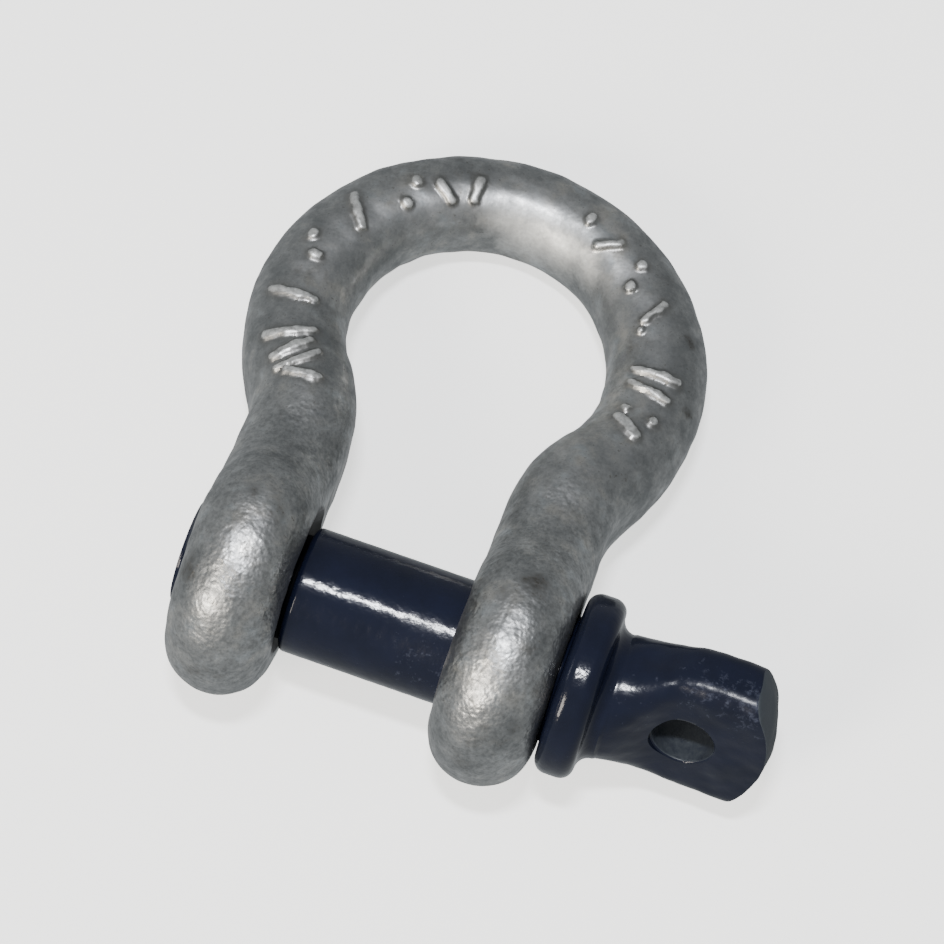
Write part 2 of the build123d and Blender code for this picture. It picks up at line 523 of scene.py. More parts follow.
@dataclass
class Bow:
    """The forged bow: two ears, two neck bends and a wide loop, one tube from ear to ear.

    Its stains and the painted highlight inside the crown, laid as pale, dull zinc, are spots: centre,
    reach and strength.
    """

    place: Plane3
    thread: Thread
    jaw: float = 20.9
    ear_thickness: float = 13.3
    ear_diameter: float = 31.8
    ear_root_height: float = 19.0
    bar_height: float = 12.6
    side_thickness: float = 13.0
    crown_thickness: float = 11.5
    inside_width: float = 33.4
    loop_distance: float = 39.8
    neck_bend_radius: float = 16.0
    section_flat: float = 0.3
    pin_radius: float = PIN_RADIUS
    plain_bore_clearance: float = 0.75
    tapped_bore_recess: float = 1.5
    recess_lean: float = 0.8
    recess_lean_angle: float = 30.0
    bore_chamfer: float = 0.6
    thread_clearance: float = 0.08
    mark_height: float = 0.5
    mark_slope: float = 0.6
    mark_halo: float = 1.5
    marks_start: float = 5.5
    marks_start_fade: float = 1.0
    marks_end: float = 55.5
    marks_end_fade: float = 1.5
    beyond_marks: float = 99.0
    raggedness: tuple[Relief, Relief] = (Relief(1.5, 0.07, 21), Relief(1.5, 0.07, 22))
    forging: tuple[Relief, Relief] = (Relief(9, 0.035, 5), Relief(3.2, 0.025, 8))
    calm_rows: int = 4
    ear_finish_end: float = 11.0
    ear_finish_fade: float = 17.0
    bore_edge: float = 0.4
    stains: tuple[Spot, ...] = (
        ((17.6, 3.0, 15.6), 2.3, 1.0), ((-22.6, -8.0, 10.8), 2.6, 1.0),
        ((25.2, 49.2, 5.2), 1.5, 0.9), ((27.9, 39.4, 4.5), 1.2, 1.0),
        ((-14.5, 0.5, 15.4), 3.4, 0.7), ((21.3, 26.4, 6.1), 3.4, 0.6),
        ((-7.9, 62.2, 6.3), 3.0, 0.6), ((19.9, -5.1, 14.6), 1.4, 0.8),
        ((14.5, 0.5, 15.5), 1.8, 0.7), ((-18.1, 2.4, 15.7), 1.8, 0.8),
        ((21.3, -12.5, 7.7), 2.2, 0.7), ((17.6, -13.9, 7.6), 1.2, 0.8),
    )
    # Painted highlight: pale, dull zinc on the inner side of the crown, standing in for a broad
    # reflection there.
    painted_sheen: tuple[Spot, ...] = (
        ((1.2, 57.5, 2.6), 4.6, 1.0), ((5.0, 57.0, 3.0), 4.4, 0.9),
        ((-2.2, 58.3, 3.6), 3.6, 0.75), ((9.0, 55.3, 3.5), 3.4, 0.6),
    )
    columns: int = 128
    turn_samples: int = 2000
    length_samples: int = 4000
    top_crowding: float = 1.3
    top_spread: float = 0.6
    rim_rows: int = 24
    rim_first_angle: float = 0.05
    fine_step: float = 0.24
    coarse_step: float = 0.52
    cutter_columns: int = 120
    cutter_step: float = 0.16
    cutter_overshoot: float = 1.5

    def __post_init__(self) -> None:
        """Works out the places that several methods share."""
        self.ear_radius = self.ear_diameter / 2
        self.bar_half = self.bar_height / 2
        self.root_half = self.ear_root_height / 2
        self.ear_mid = (self.jaw + self.ear_thickness) / 2
        self.loop_radius = (self.inside_width + self.side_thickness) / 2
        neck_reach = self.loop_radius + self.neck_bend_radius
        self.neck_centre = self.ear_mid + self.neck_bend_radius
        rise = math.sqrt(neck_reach**2 - self.neck_centre**2)
        self.neck_height = self.loop_distance - rise
        self.neck_angle = math.atan2(rise, self.neck_centre)
        gap = self.ear_radius - self.root_half
        square = self.neck_height**2 - self.ear_radius**2 + self.root_half**2
        self.hollow_radius = square / (2 * gap)
        self.hollow_centre = self.root_half + self.hollow_radius
        self.hollow_angle = math.atan2(self.hollow_centre, self.neck_height)
        self.neck_length = self.neck_bend_radius * self.neck_angle
        self.half_length = self.neck_length + self.loop_radius * (math.pi / 2 + self.neck_angle)

    def half_thickness(self, thickness: np.ndarray, height: np.ndarray,
                       depth: np.ndarray) -> np.ndarray:
        """Half the thickness at a depth inside the outline.

        The rim is a quarter circle of a radius c that takes up the shorter side but for a narrow
        flat, so the half grows as sqrt(c^2 - (c - depth)^2) up to the full half at depth c.

        Args:
            thickness: Full thickness of the bar or ear.
            height: Its height, square to the bow's plane.
            depth: Distance inside the outline.

        Returns:
            Distance of the surface from the middle plane.
        """
        corner = (np.minimum(thickness, height) - self.section_flat) / 2
        return thickness / 2 - flare(corner, depth)

    def around(self) -> np.ndarray:
        """Angles round the bar, closer together on its top, where the raised marks are.

        Their density is 1 + crowding * exp(-((angle - 90 degrees) / spread)^2).

        Returns:
            One angle in radians for each column.
        """
        fine = np.linspace(0, FULL_TURN, self.turn_samples)
        from_top = (fine - math.pi / 2) / self.top_spread
        weight = 1 + self.top_crowding * np.exp(-(from_top**2))
        share = np.concatenate([[0], np.cumsum((weight[1:] + weight[:-1]) / 2)])
        places = (np.arange(self.columns) + 0.5) / self.columns
        return np.interp(places, share / share[-1], fine)

    def ear_half_height(self, y: np.ndarray) -> np.ndarray:
        """Half height of the ear's outline: a circle up to the tangent point, then a hollow arc.

        Args:
            y: Place from the pin's axis towards the crown.

        Returns:
            sqrt(R^2 - y^2) on the circle, and the hollow's centre less its own root beyond it.
        """
        disc = np.sqrt(np.maximum(self.ear_radius**2 - y**2, 0))
        drop = np.maximum(self.hollow_radius**2 - (self.neck_height - y) ** 2, 0)
        hollow = self.hollow_centre - np.sqrt(drop)
        return np.where(y < self.ear_radius * math.cos(self.hollow_angle), disc, hollow)

    def ear_depth(self, y: np.ndarray, z: np.ndarray) -> np.ndarray:
        """Distance inside the ear's outline, from the circle or from the hollow arc beside it.

        Args:
            y: Place from the pin's axis towards the crown.
            z: Place square to the bow's plane.

        Returns:
            The distance, 0 on the outline.
        """
        from_disc = self.ear_radius - np.hypot(y, z)
        to_hollow = np.hypot(y - self.neck_height, np.abs(z) - self.hollow_centre)
        beside_leg = np.arctan2(np.abs(z), y) < self.hollow_angle
        return np.where(beside_leg, to_hollow - self.hollow_radius, from_disc)

    def ear_rows(self, side: int, turns: np.ndarray) -> np.ndarray:
        """Points of one ear, from its rim to the neck bend.

        Each row is a cut at one y: z is the outline's half height times sin(turn), and the
        thickness there follows from the depth inside the outline.

        Args:
            side: -1 for the tapped ear, 1 for the plain one.
            turns: Angles round the bar.

        Returns:
            Rows by columns by x, y, z.
        """
        corner = (self.ear_thickness - self.section_flat) / 2
        rim_angles = np.linspace(self.rim_first_angle, math.pi / 2, self.rim_rows)
        rim = -self.ear_radius + corner * (1 - np.cos(rim_angles))
        rest = np.arange(rim[-1], self.neck_height, self.coarse_step)[1:]
        y = np.concatenate([rim, rest])[:, None]
        z = self.ear_half_height(y) * np.sin(turns)
        depth = self.ear_depth(y, z)
        half = self.half_thickness(self.ear_thickness, self.ear_root_height, depth)
        x = side * (self.ear_mid + np.sign(np.cos(turns)) * half)
        return np.stack([x, np.broadcast_to(y, z.shape), z], -1)

    def bar_steps(self) -> np.ndarray:
        """Places along the centre line, in fine steps where the raised marks are.

        Returns:
            Distances from the left ear's root, each a local step after the last.
        """
        fine = np.linspace(0, 2 * self.half_length, self.length_samples)
        from_crown = np.abs(fine - self.half_length)
        begun = smooth_step((from_crown - self.marks_start) / self.marks_start_fade)
        marked = begun * smooth_step((self.marks_end - from_crown) / self.marks_end_fade)
        step = self.coarse_step + (self.fine_step - self.coarse_step) * marked
        count = np.concatenate([[0], np.cumsum(np.diff(fine) / step[1:])])
        return np.interp(np.arange(1, int(count[-1]) + 1), count, fine)

    def bar_rows(self, turns: np.ndarray) -> tuple[np.ndarray, np.ndarray]:
        """Points of the neck bends and the loop, and how far each lies along from the crown.

        The centre line's left half is an arc of the neck bend's radius and half the loop's arc, and
        its right half is the mirror image. Each row stands square to it, with z as the half height
        times sin(turn).

        Args:
            turns: Angles round the bar.

        Returns:
            Rows by columns by x, y, z, and one place along the bar for each row.
        """
        along = self.bar_steps() - self.half_length
        from_crown = np.abs(along)
        from_ear = self.half_length - from_crown
        mirror = np.stack([np.where(along > 0, -1.0, 1.0), np.ones(len(along))], -1)
        bend = from_ear / self.neck_bend_radius
        on_bend = -np.stack([np.cos(bend), np.sin(bend)], -1)
        angle = math.pi / 2 + from_crown / self.loop_radius
        on_loop = np.stack([np.cos(angle), np.sin(angle)], -1)
        bent = (from_ear < self.neck_length)[:, None]
        bend_centre = np.array([-self.neck_centre, self.neck_height])
        loop_centre = np.array([0.0, self.loop_distance])
        centres = mirror * np.where(bent, bend_centre - self.neck_bend_radius * on_bend,
                                    loop_centre + self.loop_radius * on_loop)
        outwards = mirror * np.where(bent, on_bend, on_loop)
        quarter = self.loop_radius * math.pi / 2
        to_side = smooth_step(from_crown / quarter)
        to_ear = smooth_step((from_crown - quarter) / (self.half_length - quarter))
        thickness = self.crown_thickness + (self.side_thickness - self.crown_thickness) * to_side
        thickness = (thickness + (self.ear_thickness - self.side_thickness) * to_ear)[:, None]
        half_height = (self.bar_half + (self.root_half - self.bar_half) * to_ear)[:, None]
        z = half_height * np.sin(turns)
        half = self.half_thickness(thickness, 2 * half_height, half_height - np.abs(z))
        reach = (np.sign(np.cos(turns)) * half)[..., None]
        flat = centres[:, None, :] + outwards[:, None, :] * reach
        upright = np.broadcast_to(z, flat.shape[:2])[..., None]
        return np.concatenate([flat, upright], -1), along

    def surface(self) -> Tube:
        """The whole bow from the tapped ear's rim to the plain ear's, with marks and relief.

        Returns:
            The tube, lifted by the raised marks and by the uneven forging.
        """
        turns = self.around()
        bar, along = self.bar_rows(turns)
        left = self.ear_rows(-1, turns)
        right = self.ear_rows(1, turns)[::-1]
        points = np.concatenate([left, bar, right])
        places = np.concatenate([np.full(len(left), -self.beyond_marks), along,
                                 np.full(len(right), self.beyond_marks)])
        across = self.bar_half * (math.pi / 2 - turns)
        ragged_along = places[:, None] + self.raggedness[0].at(points)
        ragged_across = across[None, :] + self.raggedness[1].at(points)
        raised, around = (
            np.max([mark.share(ragged_along, ragged_across, slope) for mark in MARKS], 0)
            for slope in (self.mark_slope, self.mark_halo)
        )
        ear = (self.neck_height + self.ear_finish_end - points[..., 1]) / self.ear_finish_fade
        marks = {
            "raised": raised,
            "around": around,
            "ear": smooth_step(ear),
            "stain": spot_share(points, self.stains),
            "painted_sheen": spot_share(points, self.painted_sheen),
        }
        ends = [np.array([side * self.ear_mid, -self.ear_radius, 0.0]) for side in (-1, 1)]
        tube = Tube(points, ends[0], ends[1], marks)
        uneven = sum(relief.at(points) for relief in self.forging)
        calm = calm_ends(len(points), self.calm_rows, self.calm_rows)
        tube.lift(raised * self.mark_height + uneven * calm)
        return tube

    def recess(self, turn: np.ndarray) -> np.ndarray:
        """Radius of the recess at the inner face of the tapped ear, wider on its upper side.

        Args:
            turn: Angle about the pin from the crown's side, in radians.

        Returns:
            The pin's radius plus the recess plus its lean times cos(turn - lean angle).
        """
        lean = self.recess_lean * np.cos(turn - math.radians(self.recess_lean_angle))
        return self.pin_radius + self.tapped_bore_recess + lean

    def bore_cutter(self, name: str, side: int) -> bpy.types.Object:
        """The material that goes out of one ear: a turned form with rounded lips at both faces.

        The radius is the bore's, and near each face it opens as a quarter circle, or as the
        recess's cone at the inner mouth of the tapped ear. The tapped bore winds as the thread.

        Args:
            name: Name of the cutter.
            side: -1 for the tapped ear, 1 for the plain one.

        Returns:
            The closed cutter.
        """
        inner = self.jaw / 2
        outer = inner + self.ear_thickness
        x = np.arange(inner - self.cutter_overshoot, outer + self.cutter_overshoot,
                      self.cutter_step)
        turns = even_turns(self.cutter_columns)
        if side > 0:
            bore = self.pin_radius + self.plain_bore_clearance
            radius = np.broadcast_to(bore, (len(x), len(turns)))
        else:
            thread = self.thread.radius(-x[:, None], turns[None, :]) + self.thread_clearance
            cone = self.recess(turns)[None, :] - np.maximum(x - inner, 0)[:, None]
            radius = np.maximum(thread, cone)
            bore = self.thread.crest
        mouths = flare(self.bore_chamfer, outer - x)
        if side > 0:
            mouths = np.maximum(mouths, flare(self.bore_chamfer, x - inner))
        radius = np.maximum(radius, (bore + mouths)[:, None] * (mouths > 0)[:, None])
        y = radius * np.cos(turns)
        z = radius * np.sin(turns)
        points = np.stack([np.broadcast_to(side * x[:, None], y.shape), y, z], -1)
        points = points if side > 0 else points[::-1]
        return Tube.between_flats(points).build(name, self.place)

    def build(self, material: bpy.types.Material) -> bpy.types.Object:
        """Makes the bow with its bores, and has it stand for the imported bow.

        Args:
            material: The galvanised finish.

        Returns:
            The finished piece.
        """
        piece = self.surface().build("galvanised_bow", self.place)
        cut_away(piece, [self.bore_cutter("tapped_bore", -1), self.bore_cutter("plain_bore", 1)])
        # Painted shade: the bore mark lays the shadow colour inside both bores and the tapped ear's
        # recess.
        spots = self.place.inward(piece)
        radial = np.hypot(spots[:, 1], spots[:, 2])
        recess = self.recess(np.arctan2(spots[:, 2], spots[:, 1]))
        wall = np.where(spots[:, 0] > -self.ear_mid, recess, self.thread.crest)
        wall[spots[:, 0] > 0] = self.pin_radius + self.plain_bore_clearance
        add_mark(piece, "bore", smooth_step((wall - radial) / self.bore_edge + 1))
        shade(piece, material)
        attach(piece, "bow")
        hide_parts("bow")
        return piece


@dataclass
class ScrewPin:
    """The painted screw pin: thread, relief groove, shank, collar, neck and flattened head.

    The places of handling wear are spots: centre, reach and strength. Their pale specks on the head's
    ridge are partly a painted highlight.
    """

    place: Plane3
    thread: Thread
    thread_end: float = -24.65
    thread_end_chamfer: float = 1.2
    thread_core: float = 0.4
    thread_run_out: float = 0.6
    relief_end: float = -12.75
    relief_depth: float = 0.8
    shank_end: float = -10.15
    shank_chamfer: float = 0.5
    shank_radius: float = PIN_RADIUS
    collar_seat: float = 24.15
    collar_thickness: float = 5.0
    collar_radius: float = 11.6
    collar_rim_radius: float = 1.75
    neck_radius: float = 8.0
    neck_fillet: float = 1.8
    head_width: float = 21.2
    head_thickness: float = 8.2
    head_offset: float = -1.2
    head_end: float = 51.35
    head_wide_length: float = 8.5
    head_flat_length: float = 12.0
    head_end_radius: float = 17.3
    head_edge_radius: float = 2.8
    head_eye_radius: float = 3.9
    head_eye_to_end: float = 10.7
    head_turn: float = 81.0
    eye_lip: float = 0.25
    # Handling wear; the two spots on the head's ridge also lighten it as painted highlight.
    handled_and_sheen: tuple[Spot, ...] = (
        ((48.0, -0.5, 10.3), 5.0, 1.0), ((42.0, -1.0, 10.2), 4.5, 0.85),
        ((7.5, -6.4, 4.6), 5.0, 0.55), ((34.5, -3.0, 8.0), 5.0, 0.35),
    )
    end_bare_depth: float = 0.35
    end_bare_edge: float = 0.3
    eye_bare_depth: float = 0.25
    eye_bare_edge: float = 0.2
    eye_bareness: float = 0.8
    # Painted shade: a near-black coat on the relief groove and the thread beside it, inside the tapped
    # ear's recess.
    groove_shade_reach: float = 4.0
    groove_shade_fade: float = 3.5
    groove_shade_overlap: float = 0.1
    forging: tuple[Relief, Relief] = (Relief(7, 0.07, 3), Relief(2.6, 0.02, 4))
    forging_fade: float = 3.0
    paint_waves: Relief = Relief(1.5, 0.006, 6)
    turned_softness: float = 0.9
    head_softness: float = 1.1
    calm_rows: int = 5
    columns: int = 132
    spacing: float = 0.2
    side_rows: int = 92
    cap_rows: int = 42
    cutter_columns: int = 72
    cutter_step: float = 0.15
    cutter_overshoot: float = 3.0

    def __post_init__(self) -> None:
        """Works out the places that several methods share."""
        self.collar_front = self.collar_seat + self.collar_thickness
        self.dome_centre = self.head_end - self.head_end_radius
        self.neck_root = self.collar_front + self.neck_fillet
        self.eye_centre = self.head_end - self.head_eye_to_end
        self.turns = even_turns(self.columns)

    def turned_profile(self) -> np.ndarray:
        """Outline of the turned part, from the thread's end to the neck.

        Returns:
            Rows of x and radius.
        """
        crest = self.thread.crest
        relief = crest - self.relief_depth
        rim = self.collar_rim_radius
        top = self.collar_radius - rim
        corners = [
            [[self.thread_end, self.thread_core]],
            [[self.thread_end, crest - self.thread_end_chamfer]],
            [[self.thread_end + self.thread_end_chamfer, crest]],
            [[self.relief_end - self.relief_depth, crest], [self.relief_end, relief]],
            [[self.shank_end, relief], [self.shank_end, self.shank_radius - self.shank_chamfer]],
            [[self.shank_end + self.shank_chamfer, self.shank_radius]],
            [[self.collar_seat, self.shank_radius]],
            arc_points((self.collar_seat + rim, top), rim, 180, 90),
            arc_points((self.collar_front - rim, top), rim, 90, 0),
            arc_points((self.neck_root, self.neck_radius + self.neck_fillet), self.neck_fillet,
                       180, 270),
        ]
        return even_profile(np.concatenate([np.array(part) for part in corners]), self.spacing)

    def turned_rows(self) -> np.ndarray:
        """Points of the turned part: the outline softened by the paint and turned about the pin.

        Up to the relief groove the radius is the smaller of the outline's and the thread's.

        Returns:
            Rows by columns by x, y, z.
        """
        profile = soften(self.turned_profile(), self.turned_softness)
        x = profile[:, :1] + 0 * self.turns
        radius = profile[:, 1:] + 0 * self.turns
        threaded = x < self.relief_end - self.relief_depth * self.thread_run_out
        wound = np.minimum(radius, self.thread.radius(x, self.turns))
        radius = np.where(threaded, wound, radius)
        return np.stack([x, radius * np.cos(self.turns), radius * np.sin(self.turns)], -1)

    def outline(self, half_width: np.ndarray, half_height: np.ndarray,
                corner: np.ndarray) -> tuple[np.ndarray, np.ndarray]:
        """Rounded rectangle walked at an even pace: up the side, round the corner, along the top.

        Args:
            half_width: Half the width, one value for each point.
            half_height: Half the thickness.
            corner: Radius of the corners.

        Returns:
            Places along the width and along the thickness.
        """
        share = ((self.turns - math.radians(self.head_turn)) / (FULL_TURN / 4)) % 4
        quarter = np.floor(share)
        within = np.where(quarter % 2 == 1, 1 - (share - quarter), share - quarter)
        side = half_height - corner
        top = half_width - corner
        walked = within * (side + math.pi / 2 * corner + top)
        rise = np.clip(walked, 0, side)
        bend = np.clip((walked - side) / corner, 0, math.pi / 2)
        back = np.clip(walked - side - math.pi / 2 * corner, 0, top)
        across = top + corner * np.cos(bend) - back
        up = rise + corner * np.sin(bend)
        left = (quarter == 1) | (quarter == 2)
        return np.where(left, -across, across), np.where(quarter >= 2, -up, up)

    def head_section(self, x: np.ndarray) -> tuple[np.ndarray, np.ndarray]:
        """The head's outline at each place: round at the neck, wide and flat towards the end.

        Args:
            x: Place along the pin of each point.

        Returns:
            Places along the head's width and along its thickness.
        """
        flat_end = self.head_end - self.head_flat_length
        wide_end = self.head_end - self.head_wide_length
        flattened = smooth_step((x - self.collar_front) / (flat_end - self.collar_front))
        widened = smooth_step((x - self.collar_front) / (wide_end - self.collar_front))
        half_width = self.neck_radius + (self.head_width / 2 - self.neck_radius) * widened
        half_height = self.neck_radius + (self.head_thickness / 2 - self.neck_radius) * flattened
        corner = self.neck_radius + (self.head_edge_radius - self.neck_radius) * flattened
        across, up = self.outline(half_width, half_height, corner)
        return across, up + self.head_offset * flattened

    def in_place(self, x: np.ndarray, across: np.ndarray, up: np.ndarray) -> np.ndarray:
        """Turns the head's own directions about the pin.

        Args:
            x: Place along the pin.
            across: Place along the head's width.
            up: Place along its thickness.

        Returns:
            Places in the bow's plane, the last axis x, y, z.
        """
        turn = math.radians(self.head_turn)
        y = across * math.cos(turn) - up * math.sin(turn)
        z = across * math.sin(turn) + up * math.cos(turn)
        return np.stack([x, y, z], -1)

    def head_rows(self) -> np.ndarray:
        """Points of the head: its sides up to a ball of the end's radius, then the ball's cap.

        The sides stop where the section meets the ball, at the centre plus
        sqrt(R^2 - across^2 - up^2), and the cap shrinks that outline to its middle on the ball.

        Returns:
            Rows by columns by x, y, z.
        """
        across, up = self.head_section(np.full((1, self.columns), self.head_end))
        edge = self.dome_centre + np.sqrt(self.head_end_radius**2 - across**2 - up**2)
        share = np.linspace(0, 1, self.side_rows)[1:, None]
        x = self.neck_root + (edge - self.neck_root) * share
        sides = self.in_place(x, *self.head_section(x))
        shrink = np.linspace(1, 0, self.cap_rows)[1:-1, None]
        cap_across = across * shrink
        cap_up = self.head_offset + (up - self.head_offset) * shrink
        cap_x = self.dome_centre + np.sqrt(self.head_end_radius**2 - cap_across**2 - cap_up**2)
        return np.concatenate([sides, self.in_place(cap_x, cap_across, cap_up)])

    def surface(self) -> Tube:
        """The whole pin from the thread's end to the middle of the head's end.

        Returns:
            The tube, lifted by the uneven forging on the head and by waves in the paint.
        """
        points = np.concatenate([self.turned_rows(), soften(self.head_rows(), self.head_softness)])
        start = np.array([self.thread_end, 0.0, 0.0])
        tip = self.dome_centre + math.sqrt(self.head_end_radius**2 - self.head_offset**2)
        pole = self.in_place(np.array(tip), np.array(0.0), np.array(self.head_offset))
        tube = Tube(points, start, pole)
        x = points[..., 0]
        forged = sum(relief.at(points) for relief in self.forging)
        forged = forged * smooth_step((x - self.collar_front) / self.forging_fade)
        painted = self.paint_waves.at(points) * (x > self.shank_end)
        tube.lift((forged + painted) * calm_ends(len(points), 0, self.calm_rows))
        return tube

    def eye_cutter(self) -> bpy.types.Object:
        """The material that goes out of the eye: a round bar with a flare at each flat face.

        Returns:
            The closed cutter.
        """
        half = self.head_thickness / 2
        beyond = half + self.cutter_overshoot
        lift = np.arange(-beyond, beyond, self.cutter_step)
        radius = self.head_eye_radius + flare(self.eye_lip, half - np.abs(lift))
        turns = even_turns(self.cutter_columns)
        x = self.eye_centre + radius[:, None] * np.cos(turns)
        across = radius[:, None] * np.sin(turns)
        up = np.broadcast_to((lift + self.head_offset)[:, None], x.shape)
        return Tube.between_flats(self.in_place(x, across, up)).build("eye", self.place)

    def wear(self, spots: np.ndarray) -> tuple[np.ndarray, np.ndarray]:
        """Where the paint wears: pale specks at the places of handling, partly a painted highlight on
        the head's ridge, and steel on the end and in the eye.

        Args:
            spots: Places of the vertices, in the bow's plane.

        Returns:
            Shares for specks and for bare steel.
        """
        turn = math.radians(self.head_turn)
        across = spots[:, 1] * math.cos(turn) + spots[:, 2] * math.sin(turn)
        up = spots[:, 2] * math.cos(turn) - spots[:, 1] * math.sin(turn)
        worn_and_sheen = spot_share(spots, self.handled_and_sheen)
        ball = np.sqrt((spots[:, 0] - self.dome_centre) ** 2 + across**2 + up**2)
        end_depth = ball - self.head_end_radius + self.end_bare_depth
        on_end = smooth_step(end_depth / self.end_bare_edge)
        from_eye = np.hypot(spots[:, 0] - self.eye_centre, across)
        eye_depth = self.head_eye_radius + self.eye_bare_depth - from_eye
        in_eye = self.eye_bareness * smooth_step(eye_depth / self.eye_bare_edge)
        return worn_and_sheen, np.maximum(on_end, in_eye) * (spots[:, 0] > self.neck_root)

    def build(self, material: bpy.types.Material) -> bpy.types.Object:
        """Makes the pin with its eye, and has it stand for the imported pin.

        Args:
            material: The painted finish.

        Returns:
            The finished piece.
        """
        piece = self.surface().build("painted_pin", self.place)
        cut_away(piece, [self.eye_cutter()])
        spots = self.place.inward(piece)
        worn_and_sheen, bare = self.wear(spots)
        # Painted shade over the relief groove and the thread's first turns, inside the tapped ear's
        # recess.
        before_shank = spots[:, 0] < self.shank_end + self.groove_shade_overlap
        from_thread = spots[:, 0] - self.relief_end + self.groove_shade_reach
        # Paint wear, and on the head's ridge partly painted highlight: pale specks and a hazier skin.
        add_mark(piece, "worn_and_sheen", worn_and_sheen)
        add_mark(piece, "bare", bare)
        add_mark(piece, "groove_shade", smooth_step(from_thread / self.groove_shade_fade) * before_shank)
        shade(piece, material)
        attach(piece, "pin")
        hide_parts("screw_pin")
        return piece


def feed(tree: bpy.types.NodeTree, node: bpy.types.Node, inputs: dict) -> None:
    """Links a node's inputs or sets their values.

    Args:
        tree: The node tree.
        node: The node.
        inputs: Input socket to the output that feeds it, to a colour as hex digits or to a value.
    """
    for socket, source in inputs.items():
        if isinstance(source, bpy.types.NodeSocket):
            tree.links.new(source, node.inputs[socket])
        elif isinstance(source, str):
            node.inputs[socket].default_value = linear_colour(source)
        else:
            node.inputs[socket].default_value = source


def add_node(tree: bpy.types.NodeTree, kind: str, inputs: dict, output: int | str = 0,
             **settings: object) -> bpy.types.NodeSocket:
    """Adds a node with its settings and what goes into it.

    Args:
        tree: The node tree.
        kind: Type name of the node.
        inputs: Input socket to the output that feeds it or to its value.
        output: Number or name of the output to give back.
        settings: Properties of the node.

    Returns:
        That output.
    """
    node = tree.nodes.new(kind)
    for name, value in settings.items():
        setattr(node, name, value)
    feed(tree, node, inputs)
    return node.outputs[output]


def new_material(name: str) -> tuple[bpy.types.Material, bpy.types.NodeTree, bpy.types.Node]:
    """Makes a node material.

    Args:
        name: Name of the material.

    Returns:
        The material, its node tree and its shader.
    """
    made = bpy.data.materials.new(name)
    made.use_nodes = True
    return made, made.node_tree, made.node_tree.nodes["Principled BSDF"]


@dataclass(frozen=True)
class Clouds:
    """Cloudy noise, about 0.3 to 0.7.

    Fields:
        size: Size of its largest features, in millimetres.
        octaves: Number of finer octaves.
        roughness: Share of the finer octaves.
    """

    size: float
    octaves: float
    roughness: float


@dataclass(frozen=True)
class Ramp:
    """A straight rise or fall of one value with another, held at both ends.

    Fields:
        low: Value of the cause where the ramp starts.
        high: Value of the cause where it ends.
        first: What it gives at its start.
        last: What it gives at its end.
    """

    low: float
    high: float
    first: float = 0.0
    last: float = 1.0

    def over(self, cause: bpy.types.NodeSocket) -> dict:
        """What goes into a range node, so that it carries the cause over."""
        return {0: cause, 1: self.low, 2: self.high, 3: self.first, 4: self.last}


def read_signals(tree: bpy.types.NodeTree, finish: object,
                 marks: tuple[str, ...]) -> dict[str, bpy.types.NodeSocket]:
    """The values that a finish is mixed by: its own clouds of noise and the marks on its piece.

    Args:
        tree: The node tree.
        finish: The finish, each of whose fields of the type Clouds is made.
        marks: Names of the marks that the piece carries.

    Returns:
        Name to output.
    """
    place = add_node(tree, "ShaderNodeTexCoord", {}, "Object")
    signals = {}
    for name, clouds in vars(finish).items():
        if isinstance(clouds, Clouds):
            inputs = {"Vector": place, "Scale": 1 / (clouds.size * MM), "Detail": clouds.octaves,
                      "Roughness": clouds.roughness}
            signals[name] = add_node(tree, "ShaderNodeTexNoise", inputs, "Fac")
    for name in marks:
        signals[name] = add_node(tree, "ShaderNodeAttribute", {}, "Fac", attribute_name=name)
    return signals


def lay_coats(tree: bpy.types.NodeTree, under: object, coats: list[tuple]) -> bpy.types.NodeSocket:
    """Lays colours over one another.

    Args:
        tree: The node tree.
        under: The colour beneath the first coat.
        coats: For each coat its colour, its cause and the ramp of its share over the cause, or
            None where the cause is the share.

    Returns:
        The colour on top.
    """
    for colour, cause, ramp in coats:
        share = add_node(tree, RANGE, ramp.over(cause)) if ramp else cause
        under = add_node(tree, MIX, {0: share, 6: under, 7: colour}, 2, data_type="RGBA")
    return under


